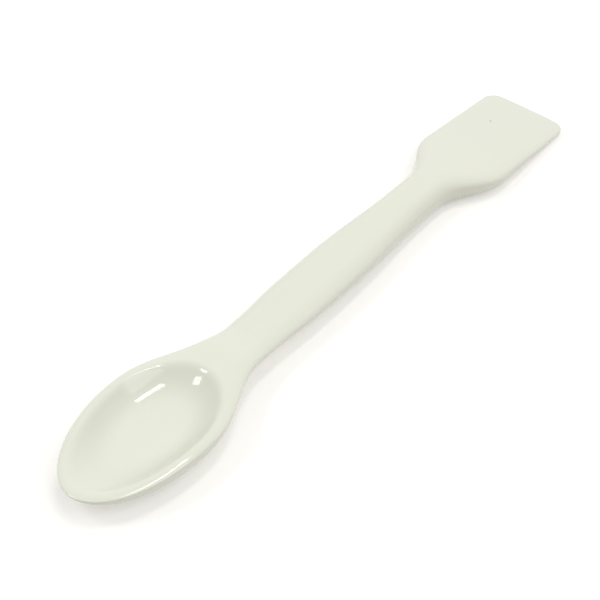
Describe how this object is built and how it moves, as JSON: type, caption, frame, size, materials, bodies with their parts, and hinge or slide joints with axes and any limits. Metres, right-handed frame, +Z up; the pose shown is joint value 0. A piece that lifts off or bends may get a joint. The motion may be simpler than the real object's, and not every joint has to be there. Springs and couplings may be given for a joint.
{
  "type": "lab spatula",
  "caption": "Glazed porcelain laboratory spatula with an oval spoon bowl at one end, a slim waisted handle and a flat square blade at the other.",
  "frame": {"origin": "middle of the tool's length and width, on the bench that it rests on", "axes": "+X along the tool from the bowl to the blade, +Z up, the hollow of the bowl faces +Z"},
  "size_m": [0.2, 0.0334, 0.0113],
  "materials": {
    "glazed_porcelain": "smooth glossy off-white glaze"
  },
  "bodies": {
    "root": {"spatula": "glazed_porcelain"}
  },
  "joints": []
}
